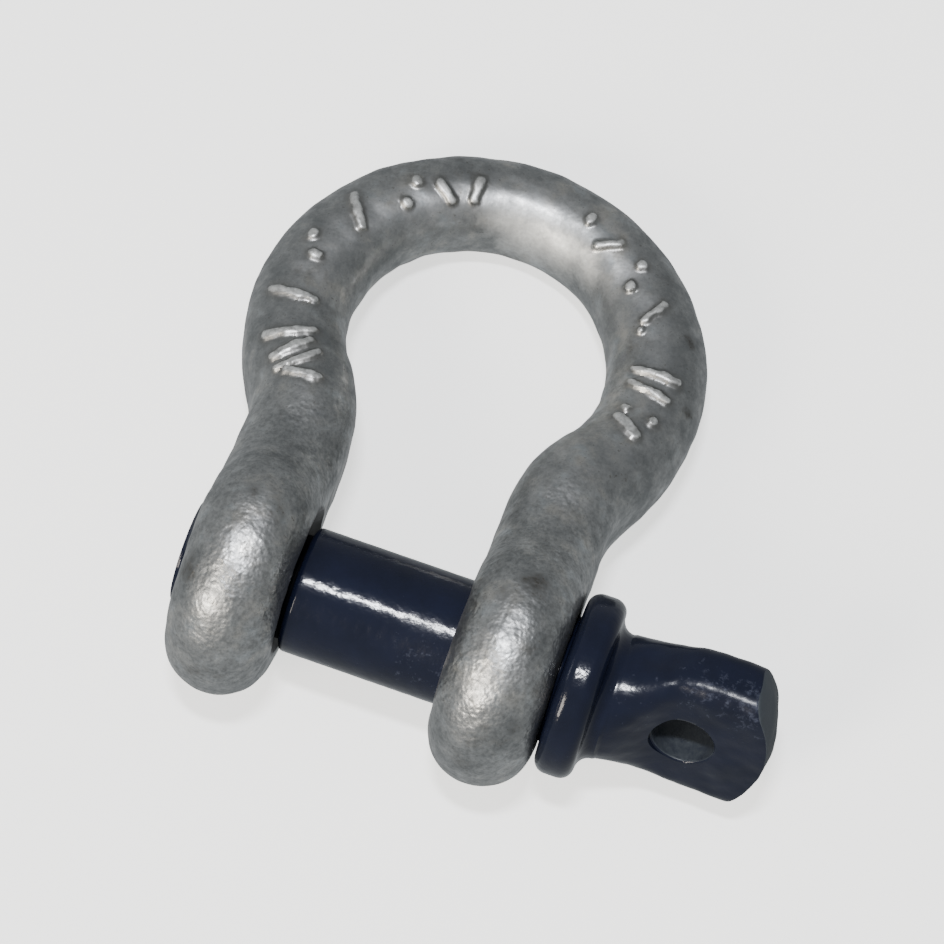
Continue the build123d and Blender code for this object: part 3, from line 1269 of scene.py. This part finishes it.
@dataclass(frozen=True)
class Galvanising:
    """Hot-dip galvanised drop forging: zinc that froze in soft grey patches over a scaled surface.

    The zinc is a metal with a weathered skin, so it gives broad dull lights. Fine pimples break
    them up on the ears, smudges and specks darken it, and what stands out wears pale. The same
    pale colour, on duller, less metallic zinc, lays a painted highlight inside the crown.
    """

    patches: Clouds = Clouds(10.0, 4.0, 0.6)
    mottle: Clouds = Clouds(2.4, 4.0, 0.7)
    tints: Clouds = Clouds(3.0, 2.0, 0.5)
    smudges: Clouds = Clouds(13.0, 7.0, 0.72)
    specks: Clouds = Clouds(0.5, 2.0, 0.6)
    flecks: Clouds = Clouds(1.0, 4.0, 0.7)
    lumps: Clouds = Clouds(3.2, 1.0, 0.4)
    pimples: Clouds = Clouds(0.75, 1.2, 0.45)
    dark: str = "8f9191"
    mid: str = "a6a7a6"
    cool_pale: str = "bfc3c4"
    warm_pale: str = "c5c3bd"
    stain: str = "4b453c"
    smudge_and_halo: str = "747069"
    speck: str = "5c5850"
    rubbed_and_sheen: str = "dcddda"
    shadow: str = "3b3b3a"
    mid_share: Ramp = Ramp(0.40, 0.50)
    pale_share: Ramp = Ramp(0.50, 0.62)
    warm_share: Ramp = Ramp(0.4, 0.6)
    smudge_share: Ramp = Ramp(0.57, 0.72, 0.0, 0.75)
    speck_share: Ramp = Ramp(0.63, 0.74, 0.0, 0.5)
    halo_share: Ramp = Ramp(0.0, 1.0, 0.0, 0.5)
    fleck_weight: float = 0.8
    rubbed_share: Ramp = Ramp(1.0, 1.5, 0.0, 0.95)
    mottle_weight: float = 0.5
    painted_sheen_share: Ramp = Ramp(0.45, 1.2, 0.0, 0.95)
    stain_break_up: float = 2.2
    stain_share: Ramp = Ramp(1.55, 2.35, 0.0, 0.8)
    grain_swing: Ramp = Ramp(0.36, 0.64, -1.0, 1.0)
    grain_depth: Ramp = Ramp(0.0, 1.0, 0.1, 0.2)
    metal_share: Ramp = Ramp(0.0, 1.0, 1.0, 0.75)
    dullness: Ramp = Ramp(0.35, 0.65, 0.48, 0.34)
    painted_sheen_dullness: float = 0.16
    lump_height: float = 0.14
    lump_strength: Ramp = Ramp(0.0, 1.0, 0.3, 1.0)
    pimple_height: float = 0.13
    pimple_strength: Ramp = Ramp(0.0, 1.0, 0.2, 1.0)

    def material(self) -> bpy.types.Material:
        """Builds the node material: coats of colour, a grain over them, and two heights of bump.

        Returns:
            The material.
        """
        made, tree, shader = new_material("galvanised forging")
        by = read_signals(tree, self, ("raised", "around", "ear", "bore", "stain", "painted_sheen"))
        patchwork = add_node(tree, MIX, {0: 0.5, 2: by["patches"], 3: by["mottle"]})
        pale = lay_coats(tree, self.cool_pale, [(self.warm_pale, by["tints"], self.warm_share)])
        crests = add_node(tree, MATH, {0: by["flecks"], 1: self.fleck_weight, 2: by["raised"]},
                          operation="MULTIPLY_ADD")
        # Painted highlight: the crown's patch, mottled, takes the pale colour, less metal and more
        # roughness, like the raised marks' crests.
        mottled_sheen = add_node(tree, MATH, {0: by["mottle"], 1: self.mottle_weight, 2: by["painted_sheen"]},
                         operation="MULTIPLY_ADD")
        painted_sheen = add_node(tree, RANGE, self.painted_sheen_share.over(mottled_sheen))
        rubbed_and_sheen_share = add_node(tree, MATH, {
            0: add_node(tree, RANGE, self.rubbed_share.over(crests)),
            1: painted_sheen,
        }, operation="MAXIMUM")
        stained = add_node(tree, MATH, {0: by["flecks"], 1: self.stain_break_up, 2: by["stain"]},
                           operation="MULTIPLY_ADD")
        tone = lay_coats(tree, self.dark, [
            (self.mid, patchwork, self.mid_share),
            (pale, patchwork, self.pale_share),
            (self.smudge_and_halo, by["smudges"], self.smudge_share),
            (self.speck, by["specks"], self.speck_share),
            # Darker round each raised mark: a halo in the same colour as the smudges.
            (self.smudge_and_halo, by["around"], self.halo_share),
            (self.rubbed_and_sheen, rubbed_and_sheen_share, None),
            (self.stain, stained, self.stain_share),
        ])
        fine = add_node(tree, MIX, {0: 0.5, 2: by["flecks"], 3: by["specks"]})
        grain = add_node(tree, MATH, {
            0: add_node(tree, RANGE, self.grain_swing.over(fine)),
            1: add_node(tree, RANGE, self.grain_depth.over(by["ear"])),
            2: 1.0,
        }, operation="MULTIPLY_ADD")
        grained = add_node(tree, "ShaderNodeVectorMath", {0: tone, "Scale": grain},
                           operation="SCALE")
        roughness = add_node(tree, MATH, {
            0: painted_sheen,
            1: self.painted_sheen_dullness,
            2: add_node(tree, RANGE, self.dullness.over(by["mottle"])),
        }, operation="MULTIPLY_ADD")
        bumps = add_node(tree, BUMP, {
            "Height": by["lumps"],
            "Distance": self.lump_height * MM,
            "Strength": add_node(tree, RANGE, self.lump_strength.over(by["ear"])),
        })
        bumps = add_node(tree, BUMP, {
            "Height": by["pimples"],
            "Distance": self.pimple_height * MM,
            "Strength": add_node(tree, RANGE, self.pimple_strength.over(by["ear"])),
            "Normal": bumps,
        })
        feed(tree, shader, {
            "Base Color": lay_coats(tree, grained, [(self.shadow, by["bore"], None)]),
            "Metallic": add_node(tree, RANGE, self.metal_share.over(rubbed_and_sheen_share)),
            "Roughness": roughness,
            "Normal": bumps,
        })
        return made


@dataclass(frozen=True)
class NavyGloss:
    """Dark navy gloss enamel, dipped or brushed on: deep colour under a clear skin.

    The skin mirrors lamps as narrow white lines that its orange peel breaks up. Handling wears it to
    small pale specks, and off the end and the eye down to dull steel. On the head's ridge the
    pale specks are partly a painted highlight.
    """

    clouds: Clouds = Clouds(6.0, 4.0, 0.6)
    chips: Clouds = Clouds(1.1, 5.0, 0.75)
    peel: Clouds = Clouds(0.6, 2.0, 0.5)
    paint: str = "1a1f33"
    deep: str = "0e111b"
    specks: str = "666b7c"
    steel: str = "43484c"
    # Painted shade: near black over the relief groove, with the paint's reflections dimmed there too.
    groove_shade: str = "08090b"
    ior: float = 1.5
    worn_and_sheen_weight: float = 0.2
    speck_share: Ramp = Ramp(0.67, 0.84, 0.0, 0.38)
    chip_weight: float = 0.5
    steel_share: Ramp = Ramp(0.85, 1.15, 0.0, 0.9)
    handled_roughness: Ramp = Ramp(0.0, 1.0, 0.14, 0.3)
    scuffed_roughness: Ramp = Ramp(0.0, 1.0, 0.14, 0.55)
    specular: Ramp = Ramp(0.0, 1.0, 0.33, 0.05)
    peel_height: float = 0.036
    peel_strength: float = 0.7

    def material(self) -> bpy.types.Material:
        """Builds the node material: coats of colour, and the roughest of what lies at a place.

        Returns:
            The material.
        """
        made, tree, shader = new_material("navy enamel")
        by = read_signals(tree, self, ("worn_and_sheen", "bare", "groove_shade"))
        rubbed_and_sheen = add_node(tree, MATH, {0: by["worn_and_sheen"], 1: self.worn_and_sheen_weight, 2: by["chips"]},
                          operation="MULTIPLY_ADD")
        speck = add_node(tree, RANGE, self.speck_share.over(rubbed_and_sheen))
        chipped = add_node(tree, MATH, {0: by["chips"], 1: self.chip_weight, 2: by["bare"]},
                           operation="MULTIPLY_ADD")
        steel = add_node(tree, RANGE, self.steel_share.over(chipped))
        tone = lay_coats(tree, self.deep, [
            (self.paint, by["clouds"], None),
            (self.specks, speck, None),
            (self.steel, steel, None),
            (self.groove_shade, by["groove_shade"], None),
        ])
        scuffed = add_node(tree, MATH, {0: speck, 1: steel}, operation="MAXIMUM")
        scuffed = add_node(tree, MATH, {0: scuffed, 1: by["groove_shade"]}, operation="MAXIMUM")
        roughness = add_node(tree, MATH, {
            0: add_node(tree, RANGE, self.handled_roughness.over(by["worn_and_sheen"])),
            1: add_node(tree, RANGE, self.scuffed_roughness.over(scuffed)),
        }, operation="MAXIMUM")
        feed(tree, shader, {
            "Base Color": tone,
            "IOR": self.ior,
            "Roughness": roughness,
            "Specular IOR Level": add_node(tree, RANGE, self.specular.over(by["groove_shade"])),
            "Normal": add_node(tree, BUMP, {"Height": by["peel"], "Strength": self.peel_strength,
                                            "Distance": self.peel_height * MM}),
        })
        return made


@dataclass(frozen=True)
class PhotoCamera:
    """The photograph's viewpoint, given in the bow's own plane.

    Fields:
        azimuth: Turn of the camera about z from straight in front of the pin, in degrees.
        elevation: Height above the bow's plane, in degrees.
        roll: Turn of the picture, in degrees.
        distance: Distance of the camera from the pin's middle, in millimetres.
        focal: Focal length, in pixels of the 944 pixel frame.
        shift_right: How far the view's middle lies to the right of the pin's middle.
        shift_up: How far it lies above.
        frame_width: Width of the frame that the focal length is measured in, in pixels.
        sensor: Width of the sensor, in millimetres.
        near: Nearest distance that is drawn, in metres.
        far: Farthest distance that is drawn, in metres.
    """

    azimuth: float = 6.777
    elevation: float = 59.766
    roll: float = 13.145
    distance: float = 551.826
    focal: float = 4487.209
    shift_right: float = 11.838
    shift_up: float = 17.562
    frame_width: float = 944.0
    sensor: float = 36.0
    near: float = 0.01
    far: float = 20.0

    def build(self, place: Plane3) -> bpy.types.Object:
        """Makes the camera and sets it as the scene's.

        Args:
            place: The bow's plane.

        Returns:
            The camera.
        """
        azimuth, elevation, roll = np.radians([self.azimuth, self.elevation, self.roll])
        flat = math.cos(elevation)
        back = np.array([math.sin(azimuth) * flat, -math.cos(azimuth) * flat,
                         math.sin(elevation)])
        right = np.array([math.cos(azimuth), math.sin(azimuth), 0.0])
        up = np.cross(back, right)
        turned_right = math.cos(roll) * right + math.sin(roll) * up
        turned_up = math.cos(roll) * up - math.sin(roll) * right
        spot = self.distance * back + self.shift_right * turned_right + self.shift_up * turned_up
        data = bpy.data.cameras.new("camera")
        data.sensor_width = self.sensor
        data.lens = self.focal / self.frame_width * self.sensor
        data.clip_start = self.near
        data.clip_end = self.far
        camera = add_object("camera", data)
        axes = [place.direction(axis) for axis in (turned_right, turned_up, back)]
        stand_at(camera, Vector(place.metres(spot)), axes)
        bpy.context.scene.camera = camera
        return camera


@dataclass(frozen=True)
class SoftBox:
    """A studio lamp with a soft cover, aimed at the middle of the shackle.

    Fields:
        name: Name of the lamp.
        towards: Direction to the lamp, in the bow's plane.
        distance: Distance from the shackle, in metres.
        width: Width of the cover, in metres.
        height: Height of the cover, in metres.
        power: Power in watts.
        colour: Colour of the light.
    """

    name: str
    towards: tuple[float, float, float]
    distance: float
    width: float
    height: float
    power: float
    colour: str

    def build(self, place: Plane3, middle: Vector) -> bpy.types.Object:
        """Makes the lamp, its width along the pin.

        Args:
            place: The bow's plane.
            middle: What the lamp is aimed at.

        Returns:
            The lamp.
        """
        data = bpy.data.lights.new(self.name, "AREA")
        data.shape = "RECTANGLE"
        data.size = self.width
        data.size_y = self.height
        data.energy = self.power
        data.color = linear_colour(self.colour)[:3]
        lamp = add_object(self.name, data)
        away = place.direction(self.towards)
        side = place.direction((1, 0, 0))
        side = (side - away * side.dot(away)).normalized()
        stand_at(lamp, middle + away * self.distance, [side, away.cross(side), away])
        return lamp


@dataclass(frozen=True)
class Studio:
    """Plain pale floor, soft boxes and a grey room that is brightest low at the front left."""

    floor_colour: str = "f7f7f5"
    floor_roughness: float = 0.9
    floor_glow: float = 1.5
    floor_size: float = 4.0
    floor_gap: float = 0.00005
    room_colour: str = "909395"
    room_bright_side: tuple[float, float, float] = (-0.35, -0.5, -0.8)
    room_light: Ramp = Ramp(-1.0, 1.0, 0.9, 1.9)
    lamps: tuple[SoftBox, ...] = (
        SoftBox("overhead", (-0.06, -0.25, 0.95), 1.0, 0.13, 0.06, 8.5, "f6f8ff"),
        SoftBox("front", (-0.42, -0.80, 0.42), 1.0, 0.30, 0.44, 8.0, "fff6ea"),
    )

    def lay_floor(self, height: float) -> None:
        """Makes the floor, which neither reflections nor bounced light see.

        Args:
            height: Height of the floor, in metres.
        """
        half = self.floor_size / 2
        corners = [(x * half, y * half, height) for x, y in ((-1, -1), (1, -1), (1, 1), (-1, 1))]
        paper, tree, shader = new_material("paper backdrop")
        feed(tree, shader, {
            "Base Color": self.floor_colour,
            "Roughness": self.floor_roughness,
            "Emission Color": self.floor_colour,
            "Emission Strength": self.floor_glow,
        })
        mesh = bpy.data.meshes.new("floor")
        mesh.from_pydata(corners, [], [(0, 1, 2, 3)])
        mesh.materials.append(paper)
        floor = add_object("floor", mesh)
        floor.visible_glossy = False
        floor.visible_diffuse = False
        floor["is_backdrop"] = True

    def light_room(self) -> None:
        """Lights the room by the cosine of each direction with its bright side."""
        world = bpy.data.worlds.new("room")
        world.use_nodes = True
        tree = world.node_tree
        towards = add_node(tree, "ShaderNodeTexCoord", {}, "Generated")
        bright_side = Vector(self.room_bright_side).normalized()
        near = add_node(tree, "ShaderNodeVectorMath", {0: towards, 1: bright_side}, "Value",
                        operation="DOT_PRODUCT")
        feed(tree, tree.nodes["Background"], {
            "Color": self.room_colour,
            "Strength": add_node(tree, RANGE, self.room_light.over(near)),
        })
        bpy.context.scene.world = world

    def build(self, place: Plane3) -> None:
        """Makes the floor, the lamps and the room's light.

        Args:
            place: The bow's plane.
        """
        low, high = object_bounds()
        self.lay_floor(low[2] - self.floor_gap)
        for lamp in self.lamps:
            lamp.build(place, (Vector(low) + Vector(high)) / 2)
        self.light_room()


def main() -> None:
    """Builds the bow, the pin, the studio and the camera."""
    logging.basicConfig(level=logging.INFO, format="%(name)s: %(message)s")
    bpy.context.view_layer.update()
    place = Plane3.from_record(frame["record"])
    thread = Thread()
    bow = Bow(place, thread).build(Galvanising().material())
    log.info("%s has %d faces", bow.name, len(bow.data.polygons))
    pin = ScrewPin(place, thread).build(NavyGloss().material())
    log.info("%s has %d faces", pin.name, len(pin.data.polygons))
    Studio().build(place)
    PhotoCamera().build(place)


if __name__ == "__main__":
    main()
